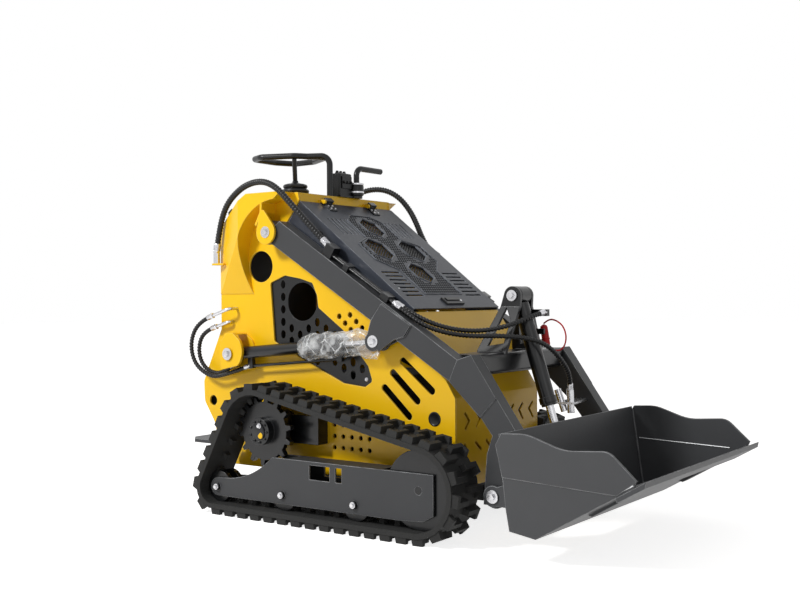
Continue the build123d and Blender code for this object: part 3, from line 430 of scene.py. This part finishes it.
hose = {"pitchMm": 13, "stepMm": 2.6, "ridgeMm": 1.3, "sides": 18,
        "large": {"radius": 12, "sleeve": 34, "nut": 17}, "small": {"radius": 8.5, "sleeve": 26, "nut": 13},
        "length": {"loop.right": 903, "loop.left": 943, "liftUpper": 611, "liftLower": 448,
                   "tiltUpper": 626, "tiltLower": 883},
        "leftRise": (0.0, 0.006, 0.014, 0.022, 0.028, 0.030, 0.028, 0.022, 0.016, 0.008, 0.0),
        "loop": [(-0.881, -0.345, 1.0916), (-0.858, -0.350, 1.191), (-0.804, -0.364, 1.286),
                 (-0.712, -0.380, 1.344), (-0.626, -0.392, 1.368), (-0.537, -0.405, 1.365),
                 (-0.459, -0.416, 1.329), (-0.395, -0.416, 1.268), (-0.343, -0.396, 1.207),
                 (-0.295, -0.370, 1.146), (-0.250, -0.357, 1.097)],
        "liftUpper": [(-0.893, -0.366, 0.811), (-0.975, -0.366, 0.785), (-1.026, -0.366, 0.700),
                      (-1.005, -0.366, 0.610), (-0.930, -0.366, 0.560), (-0.850, -0.366, 0.548),
                      (-0.6828, -0.3545, 0.6018)],
        "liftLower": [(-0.894, -0.342, 0.764), (-0.961, -0.342, 0.745), (-0.999, -0.342, 0.686),
                      (-0.990, -0.342, 0.617), (-0.937, -0.342, 0.569), (-0.850, -0.342, 0.562),
                      (-0.770, -0.3545, 0.606)],
        "tiltUpper": [(0.0846, -0.3455, 0.8619), (0.170, -0.332, 0.810), (0.262, -0.272, 0.768),
                      (0.356, -0.194, 0.757), (0.440, -0.118, 0.778), (0.492, -0.042, 0.814),
                      (0.500, 0.037, 0.826)],
        "tiltLower": [(0.0846, -0.3635, 0.8619), (0.168, -0.354, 0.800), (0.245, -0.312, 0.760),
                      (0.330, -0.245, 0.741), (0.422, -0.175, 0.742), (0.500, -0.105, 0.735),
                      (0.552, -0.030, 0.706), (0.572, 0.055, 0.640), (0.570, 0.125, 0.575),
                      (0.555, 0.149, 0.526)]}


def makeHose(name, node, route, body, size, s):
    line = smoothLine(route, s["stepMm"])
    radiusMm = size["radius"]

    def radiusAt(run, turn):
        wave = math.cos(2 * math.pi * run / s["pitchMm"] - turn)
        return radiusMm + s["ridgeMm"] * max(-0.6, min(1.0, 1.6 * wave))

    piece = addMesh(name, sweptTube(inMm(line), radiusAt, s["sides"]), "hose_rubber", body, replaced=[node])
    return piece, ferruleForms(inMm(line), size)


def ferruleForms(line, size):
    # at each end of a hose a crimped sleeve with ribs, and then a hexagon nut
    radius, length, nut = size["radius"], size["sleeve"], size["nut"]
    forms = []
    for place, inner in ((line[0], line[6]), (line[-1], line[-7])):
        axis = inner - place
        ribs = [(radius * 1.1, 0.0), (radius * 1.32, length * 0.05)]
        for k in range(5):
            h = length * (0.12 + 0.15 * k)
            ribs += [(radius * 1.36, h), (radius * 1.22, h + length * 0.04),
                     (radius * 1.22, h + length * 0.09), (radius * 1.36, h + length * 0.13)]
        forms.append(lathe(ribs + [(radius * 1.1, length)], place, axis, 24))
        forms.append(lathe([(nut * 0.9, -10), (nut, -8), (nut, 0), (nut * 0.9, 3)], place, axis, 6))
    return forms


for side, flip in (("right", list), ("left", mirrored)):
    rise = hose["leftRise"] if side == "left" else [0.0] * len(hose["loop"])
    route = [(x, y, z + up) for (x, y, z), up in zip(flip(hose["loop"]), rise)]
    piece, ferrules = makeHose(f"loopHose.{side}", f"hose_loop_{side}", route,
                               None, hose["large"], hose)
    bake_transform(piece)
    addMesh(f"loopFerruleRear.{side}", joined(*ferrules[:2]), "plated_steel", "chassis")
    addMesh(f"loopFerruleFront.{side}", joined(*ferrules[2:]), "plated_steel", "arms")
    for label in ("Upper", "Lower"):
        key, barrel = "lift" + label, f"lift_barrel_{side}"
        route = flip(hose[key])
        piece, ferrules = makeHose(f"liftHose{label}.{side}", f"hose_lift_{label.lower()}_{side}", route,
                                   None, hose["small"], hose)
        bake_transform(piece)
        addMesh(f"liftFerrule{label}Rear.{side}", joined(*ferrules[:2]), "plated_steel", "chassis")
        addMesh(f"liftFerrule{label}Front.{side}", joined(*ferrules[2:]), "plated_steel", barrel)
for label in ("Upper", "Lower"):
    key = "tilt" + label
    piece, ferrules = makeHose(f"tiltHose{label}", f"hose_tilt_{label.lower()}", hose[key],
                               "arms", hose["small"], hose)
    addMesh(f"tiltFerrules{label}", joined(*ferrules), "plated_steel", "arms")
print("stage: hoses are on")

# plated hardware: a washer and a hexagon head on each pin

hardware = {
    # body, place on its outer face, washer radius and head radius; the other side has the same
    "pins": [("chassis", (-547, 399, 1158), 24, 13), ("chassis", (-763, 405, 653), 26, 14),
             ("arms", (-3, 392, 720), 24, 13), ("bucket", (530, 404, 185), 24, 13)],
    "frameBolts": [("chassis", (-742, 495, 109), 13, 9), ("chassis", (-386, 495, 109), 13, 9),
                   ("chassis", (-24, 495, 109), 13, 9)],
    "grilleBolts": [("chassis", (-97, 306.7, 566), 8, 6)],
}
tiltPin = {"place": (413, 56, 892), "washer": 22, "head": 12}  # the pin between the two tilt ears


def boltForms(place, washer, head, outward):
    # a washer with its edge rounded, and a chamfered hexagon head on it
    thick = 3.4
    ring = lathe([(washer, 0), (washer, 2.4), (washer - 1, thick), (head * 1.1, thick)], place, outward, 28)
    headForm = lathe([(head, 0), (head, head * 0.55), (head * 0.86, head * 0.68), (head * 0.3, head * 0.70)],
                     Vector(place) + Vector(outward) * thick, outward, 6)
    return [ring, headForm]


for group, items in hardware.items():
    for sign, side in bothSides:
        for body in ("chassis", "arms", "bucket"):
            forms = [form for owner, (x, y, z), washer, head in items if owner == body
                     for form in boltForms((x, sign * y, z), washer, head, (0, sign, 0))]
            if forms:
                addMesh(f"{group}.{body}.{side}", joined(*forms), "plated_steel", body, smooth=False)
x, y, z = tiltPin["place"]
forms = [form for sign in (-1, 1)
         for form in boltForms((x, sign * y, z), tiltPin["washer"], tiltPin["head"], (0, sign, 0))]
addMesh("tiltPinBolts", joined(*forms), "plated_steel", "arms", smooth=False)

# drive hub: a ring of cap screws, the filler plug and a daub of yellow paint
hub = {"face": (-515, 480, 350), "ring": 43, "screws": 9, "plug": (8, 24), "plugOut": 5, "daub": (16, -14),
       "daubOut": 7.4}
for sign, side in bothSides:
    x, y, z = hub["face"]
    outward = (0, sign, 0)
    turns = [2 * math.pi * k / hub["screws"] for k in range(hub["screws"])]
    screws = [lathe([(5, 0), (5, 5), (3.6, 6), (3.4, 3.5)],
                    (x + hub["ring"] * math.cos(a), sign * y, z + hub["ring"] * math.sin(a)), outward, 12)
              for a in turns]
    cover = lathe([(34, 0), (34, 4), (31, 7), (12, 9), (3, 9.4)], (x, sign * y, z), outward, 36)
    addMesh(f"hubCover.{side}", joined(cover, *screws), "black_paint", "chassis")
    px, pz = hub["plug"]
    plug = boltForms((x + px, sign * (y + hub["plugOut"]), z + pz), 11, 8, outward)
    addMesh(f"hubPlug.{side}", joined(*plug), "plated_steel", "chassis", smooth=False)
    px, pz = hub["daub"]
    daub = lathe([(13, 0), (12.6, 1.0), (6, 1.8)], (x + px, sign * (y + hub["daubOut"]), z + pz), outward, 24)
    addMesh(f"hubDaub.{side}", daub, "yellow_paint", "chassis")

# a rubber plug in the front hole of each side plate, and a cup behind the tie-down hole, which stays open
plugs = {"front": (228, 431, 25), "tieDown": (-937, 442, 22), "lip": 2.5, "cupDepth": 18,
         "plateOut": 315, "plateIn": 307}
for sign, side in bothSides:
    x, z, r = plugs["front"]
    plug = lathe([(r + plugs["lip"], 0), (r + plugs["lip"], 1.4), (r - 2, 2.4), (r - 5, 0.8), (2, 0.2)],
                 (x, sign * plugs["plateOut"], z), (0, sign, 0))
    x, z, r = plugs["tieDown"]
    deep = plugs["cupDepth"]
    cup = lathe([(4, deep), (r + 0.5, deep - 1), (r + 0.5, 0), (r + 4, 0), (r + 4, deep), (r + 2, deep + 2),
                 (4, deep + 2)], (x, sign * plugs["plateIn"], z), (0, -sign, 0))
    addMesh(f"holePlugs.{side}", joined(plug, cup), "black_plastic", "chassis")
print("stage: bolts and plugs are on")

# crumpled polythene left on the front half of each lift cylinder

wrap = {"start": (-392, 354.5, 685.8), "end": (-34, 354.5, 717.3), "radius": 44, "inner": 34, "lumpMm": 9,
        "tail": (26, 30), "around": 26, "along": 22, "flat": (0.31, 0.38)}


def makeFilm(side, sign, s):
    start, end = (Vector((x, sign * y, z)) for x, y, z in (s["start"], s["end"]))
    axis = (end - start).normalized()
    outward = Vector((0, sign, 0))
    up = Vector((-axis.z, 0, axis.x))
    forward, down = s["tail"]
    points = []
    for i in range(s["along"] + 1):
        t = i / s["along"]
        pinch = 0.66 + 0.34 * min(1, 7 * t, 7 * (1 - t)) ** 0.6
        for k in range(s["around"]):
            a = 2 * math.pi * k / s["around"]
            here = Vector((t * 9.0, 2.4 * math.cos(a), 2.4 * math.sin(a) + 7 * sign))
            lump = (noise.noise(here * 0.9) + 0.6 * abs(noise.noise(here * 2.1)) +
                    0.35 * noise.noise(here * 4.1))
            radius = (s["radius"] + s["lumpMm"] * lump) * pinch
            aside, rise = math.cos(a), math.sin(a)
            reach = min(radius, s["inner"]) if aside < 0 else radius
            # the loose end hangs down and forward below the rod's eye
            loose = max(0.0, (t - 0.82) / 0.18) * max(0.0, -rise)
            points.append(start.lerp(end, t) + outward * aside * reach + up * rise * (radius + 6) +
                          Vector((loose * forward, 0, -loose * down)) + axis * 5 * noise.noise(here * 1.7))
    faces = ringFaces(s["along"] + 1, s["around"])
    piece = addMesh(f"wrapFilm.{side}", (points, faces), "black_plastic", f"lift_barrel_{side}", smooth=False,
                    material=film)


for sign, side in bothSides:
    makeFilm(side, sign, wrap)
print("stage: film is on")

# hood: expanded mesh behind its windows, each given as u, v and radius

lattice = {"windows": ((165, 0, 64), (325, -118, 72), (325, 118, 72), (485, 0, 64)), "margin": 8,
           "depth": 6.6, "strand": 2.6, "thick": 1.6, "cell": 11.0, "slant": 55}
hoodTop, hoodFoot = (-430, 1285), (137, 845)  # X and Z of the face's upper and lower edge


def hoodPlace(u, v, out):
    # u runs down the hood from its top edge, v across it, out stands up from its face
    a = math.atan2(hoodFoot[1] - hoodTop[1], hoodFoot[0] - hoodTop[0])
    return Vector((hoodTop[0] + u * math.cos(a) - out * math.sin(a), v,
                   hoodTop[1] + u * math.sin(a) + out * math.cos(a)))


hoodUp = hoodPlace(0, 0, 1) - hoodPlace(0, 0, 0)


def sideways(a, b, width):
    # half the width of a line from a to b on the hood, square to the line
    du, dv = b[0] - a[0], b[1] - a[1]
    reach = math.hypot(du, dv)
    return -dv / reach * width / 2, du / reach * width / 2


def strandForm(a, b, s):
    # a flat strand between two places on the hood, given as (u, v)
    nu, nv = sideways(a, b, s["strand"])
    points = [hoodPlace(u + k * nu, v + k * nv, h) for h in (-s["depth"], -s["depth"] - s["thick"])
              for u, v, k in ((*a, 1), (*b, 1), (*b, -1), (*a, -1))]
    return points, [(3, 2, 1, 0), (4, 5, 6, 7), (0, 1, 5, 4), (1, 2, 6, 5), (2, 3, 7, 6), (3, 0, 4, 7)]


def latticeForms(s):
    # strands at a slant to the hood's length, clipped to a circle round each window
    turn = math.radians(s["slant"])
    forms = []
    for cu, cv, r in s["windows"]:
        reach = r + s["margin"]
        count = int(2 * reach / s["cell"]) + 2
        for slant in (-1, 1):
            across = (math.cos(turn), slant * math.sin(turn))
            normal = (-across[1], across[0])
            for shift in (k * s["cell"] for k in range(-count, count + 1)):
                if abs(shift) >= reach:
                    continue
                half = math.sqrt(reach ** 2 - shift ** 2)
                ends = [(cu + normal[0] * shift + e * half * across[0],
                         cv + normal[1] * shift + e * half * across[1]) for e in (-1, 1)]
                forms.append(strandForm(*ends, s))
    return forms


addMesh("hoodLattice", joined(*latticeForms(lattice)), "black_paint", "hood", smooth=False,
        replaced=["hood_mesh"])

# the hood's face: fields of flat dark hexagons that stand for small punched holes, and pressed rims round
# the fields and the windows
pierced = {"pitch": 14.5, "rowShare": 0.866, "start": 70, "length": 600, "columns": 17, "hole": 5.7,
           "proud": 0.25, "sunk": 1, "clear": 13,
           "outline": ((78, -62), (78, 62), (120, 118), (245, 118), (290, 214), (400, 214), (470, 128),
                       (628, 128), (628, -128), (470, -128), (400, -214), (290, -214), (245, -118),
                       (120, -118))}
rims = {"width": 6, "height": 2.6, "windowGap": 4, "fieldShare": 1.04}


def inside(u, v, outline):
    count = 0
    for (u1, v1), (u2, v2) in zip(outline, outline[1:] + outline[:1]):
        if (v1 > v) != (v2 > v) and u < (u2 - u1) * (v - v1) / (v2 - v1) + u1:
            count += 1
    return count % 2 == 1


def ribForm(a, b, s):
    # a pressed rib between two places on the hood, with a sloping shoulder on each side
    nu, nv = sideways(a, b, s["width"])
    points = [hoodPlace(u + k * nu, v + k * nv, h) for (u, v) in (a, b)
              for k, h in ((1, 0), (0.5, s["height"]), (-0.5, s["height"]), (-1, 0))]
    return points, [(0, 1, 5, 4), (1, 2, 6, 5), (2, 3, 7, 6), (3, 0, 4, 7), (3, 2, 1, 0), (4, 5, 6, 7)]


def hexagon(u, v, r):
    return [(u + r * math.cos(a), v + r * math.sin(a)) for a in (math.pi * k / 3 for k in range(6))]


def holeForm(u, v, s):
    corners = hexagon(u, v, s["hole"])
    points = [hoodPlace(*corner, h) for h in (s["proud"], -s["sunk"]) for corner in corners]
    return points, [tuple(range(6)), tuple(range(11, 5, -1))] + [(k, k + 6, (k + 1) % 6 + 6, (k + 1) % 6)
                                                                 for k in range(6)]


def piercedForms(s):
    rows = int(s["length"] / (s["pitch"] * s["rowShare"]))
    forms = []
    for row in range(rows):
        u = s["start"] + row * s["pitch"] * s["rowShare"]
        for column in range(-s["columns"], s["columns"] + 1):
            v = (column + 0.5 * (row % 2)) * s["pitch"]
            free = all(math.hypot(u - cu, v - cv) > r + s["clear"] for cu, cv, r in lattice["windows"])
            if free and inside(u, v, s["outline"]):
                forms.append(holeForm(u, v, s))
    return forms


def rimForms(s):
    loops = [hexagon(cu, cv, r + s["windowGap"]) for cu, cv, r in lattice["windows"]]
    loops.append([(u, v * s["fieldShare"]) for u, v in pierced["outline"]])
    return [ribForm(a, b, s) for loop in loops for a, b in zip(loop, loop[1:] + loop[:1])]


addMesh("hoodPiercing", joined(*piercedForms(pierced)), "black_plastic", "hood", smooth=False,
        material=darkHole)
addMesh("hoodRims", joined(*rimForms(rims)), "hood_paint", "hood", smooth=False)

# latch with its lock, two hinges with their screws, and the plugs in the skirts
latch = {"plate": (678, 0, 3), "plateSize": (40, 128, 9), "grip": (672, 0, 9), "gripSize": (16, 96, 5),
         "lock": (680, 50, 7.5)}
hinge = {"places": (-150, 150), "leaf": (34, 2.5), "leafSize": (44, 46, 5), "knuckle": (6, 15),
         "knuckleSize": (24, 42, 22), "screws": ((26, -13), (26, 13), (46, -13), (46, 13)), "screwOut": 5}
tilted = Matrix.Rotation(math.atan2(hoodTop[1] - hoodFoot[1], hoodFoot[0] - hoodTop[0]), 3, "Y")
latchForms = [block(hoodPlace(*latch["plate"]), latch["plateSize"], tilted),
              block(hoodPlace(*latch["grip"]), latch["gripSize"], tilted)]
addMesh("hoodLatch", joined(*latchForms), "black_plastic", "hood", smooth=False)
lockForm = lathe([(8, 0), (8, 2), (6, 3), (2, 2)], hoodPlace(*latch["lock"]), hoodUp, 24)
addMesh("hoodLock", lockForm, "plated_steel", "hood")
hingeForms, hingeScrews = [], []
for v in hinge["places"]:
    for key in ("leaf", "knuckle"):
        u, out = hinge[key]
        hingeForms.append(block(hoodPlace(u, v, out), hinge[key + "Size"], tilted))
    for u, w in hinge["screws"]:
        hingeScrews.append(lathe([(5, 0), (5, 3), (4, 3.8), (2, 3.4)], hoodPlace(u, v + w, hinge["screwOut"]),
                                 hoodUp, 6))
addMesh("hoodHinges", joined(*hingeForms), "black_paint", "hood", smooth=False)
addMesh("hoodHingeScrews", joined(*hingeScrews), "plated_steel", "hood", smooth=False)

skirt = {"face": 315, "plugs": ((-323, 1143), (-286, 1107))}
skirtPlugs = [lathe([(13, 0), (13, 1.2), (11, 2.2), (9, 1.0), (2, 0.6)], (x, sign * skirt["face"], z),
                    (0, sign, 0), 24) for sign in (-1, 1) for x, z in skirt["plugs"]]
addMesh("skirtPlugs", joined(*skirtPlugs), "black_plastic", "hood")
print("stage: hood is dressed")

# controls: folds of the stick's boot, the gauge in its bezel, and switches on their block

controls = {"deck": 1322.3, "boot": (-600, -150), "bootHigh": 60, "stickTop": (-577, -182, 1484), "stick": 10,
            "block": (-470, 0), "blockSize": (60, 80, 104), "frontAt": 0.62, "topStep": 24, "frontStep": 22,
            "gauge": (-440, 70), "gaugeHeight": 66, "gaugeRadius": 34}


def makeStick(s):
    # two fat folds of a rubber boot over its clamping ring, and the plain stick
    deck = s["deck"]
    place = (*s["boot"], deck)
    boot = lathe([(46, 0), (58, 2), (58, 8), (52, 10), (51, 13), (58, 17), (60, 24), (57, 31), (49, 34),
                  (48, 36), (52, 40), (53, 46), (50, 52), (38, 56), (20, 59), (13, 63), (12, 70)], place,
                 (0, 0, 1), 40)
    foot = Vector((*s["boot"], deck + s["bootHigh"]))
    lean = Vector(s["stickTop"]) - foot
    stick = lathe([(s["stick"], 0), (s["stick"], lean.length)], foot, lean, 24)
    addMesh("stickAndBoot", joined(boot, stick), "black_plastic", "chassis", replaced=["control_block"])
    ring = lathe([(59, 0), (59.6, 1), (59.6, 3.4), (58, 4.4)], place, (0, 0, 1), 48)
    addMesh("bootRing", ring, "plated_steel", "chassis")


def makeSwitches(s):
    # a block on its foot with a front plate, and three switches on its top and three on its front
    deck = s["deck"]
    x, y = s["block"]
    w, d, h = s["blockSize"]
    front = deck + h * s["frontAt"]
    forms = [block((x, y, deck + h / 2), (w, d, h)), block((x + w / 2 + 3, y, front), (7, d * 0.8, h * 0.5)),
             block((x, y, deck + 4), (w + 14, d + 14, 8))]
    for k in (-1, 0, 1):
        forms.append(lathe([(9, 0), (9, 4), (7, 6), (6, 12), (3, 13)], (x, y + s["topStep"] * k, deck + h),
                           (0, 0, 1), 20))
        forms.append(lathe([(6, 0), (6, 8), (4, 10)], (x + w / 2 + 6, y + s["frontStep"] * k, front),
                           (1, 0, 0.1), 16))
    addMesh("switchBlock", joined(*forms), "black_plastic", "chassis", smooth=False)


def makeGauge(s):
    place = (*s["gauge"], s["deck"])
    r, top = s["gaugeRadius"], s["gaugeHeight"]
    body = lathe([(r - 6, 0), (r - 6, 10), (r - 1, 14), (r, 20), (r, top - 14), (r - 2, top - 8)], place,
                 (0, 0, 1), 40)
    addMesh("gaugeBody", body, "black_plastic", "chassis")
    bezel = lathe([(r - 2, top - 9), (r + 0.8, top - 7), (r + 0.8, top - 1), (r - 2, top), (r - 4, top - 0.5),
                   (r - 4.4, top - 3)], place, (0, 0, 1), 40)
    clamp = lathe([(r + 0.6, 22), (r + 1.6, 23), (r + 1.6, 29), (r + 0.6, 30)], place, (0, 0, 1), 40)
    addMesh("gaugeBezel", joined(bezel, clamp), "plated_steel", "chassis")


makeStick(controls)
makeSwitches(controls)
makeGauge(controls)
print("stage: controls are dressed")

# red dust cap of the couplers, its moulded strap, and the clip that carries them

dustCap = {"top": (475, 80, 788), "foot": (491, 80, 696), "radius": 15,
           "clip": (455, 63, 752), "clipSize": (72, 12, 22), "strapRadius": 3.2,
           "strap": [(478, 80, 782), (500, 80, 800), (531, 80, 796), (562, 80, 775), (577, 80, 735),
                     (568, 80, 692), (536, 80, 672), (492, 80, 690)]}


def makeDustCap(s):
    r = s["radius"]
    cap = lathe([(r - 3, 0), (r, 4), (r, 24), (r + 2, 25), (r + 2, 29), (r, 30), (r, 70), (r - 2, 78),
                 (r - 8, 82), (3, 84)], s["foot"], Vector(s["top"]) - Vector(s["foot"]), 28)
    line = inMm(smoothLine([tuple(Vector(p) * mm) for p in s["strap"]], 4))
    strap = sweptTube(line, lambda run, turn: s["strapRadius"], 12)
    addMesh("dustCap", joined(cap, strap), "black_plastic", "arms", material=redPlastic)
    addMesh("dustCapClip", block(s["clip"], s["clipSize"]), "black_paint", "arms", smooth=False)


makeDustCap(dustCap)
print("stage: dust cap is on")

# bucket: painted weld beads in its corners, and bright bare ones inside its cheeks and at its lip

weld = {"bead": 5.0, "bareBead": 3, "pitch": 7.0, "step": 2.3, "sides": 8, "inner": 539, "lip": 547,
        "corner": [(1050, 260), (781, 102), (690, 115), (646, 415)],
        "bareInside": [(675, 300), (1054, 287)], "bareLip": [(1062, 270), (1122, 303)]}


def weldForm(route, y, bead, s):
    # a bead laid in small overlapping ripples along a corner, whose places are X and Z
    points = [Vector((x, y, z)) for x, z in route]
    line = []
    for a, b in zip(points, points[1:]):
        count = max(2, int((b - a).length / s["step"]))
        line += [a.lerp(b, i / count) for i in range(count)]
    line.append(points[-1])
    return sweptTube(line, lambda run, turn: bead * (0.80 + 0.20 * abs(math.cos(math.pi * run / s["pitch"]))),
                     s["sides"])


for sign, side in bothSides:
    addMesh(f"bucketWeld.{side}", weldForm(weld["corner"], sign * weld["inner"], weld["bead"], weld),
            "bucket_paint", "bucket")
    bare = [weldForm(weld["bareInside"], sign * weld["inner"], weld["bareBead"], weld),
            weldForm(weld["bareLip"], sign * weld["lip"], weld["bareBead"], weld)]
    addMesh(f"bareWeld.{side}", joined(*bare), "plated_steel", "bucket", material=bareWeld)
print("stage: bucket is dressed")
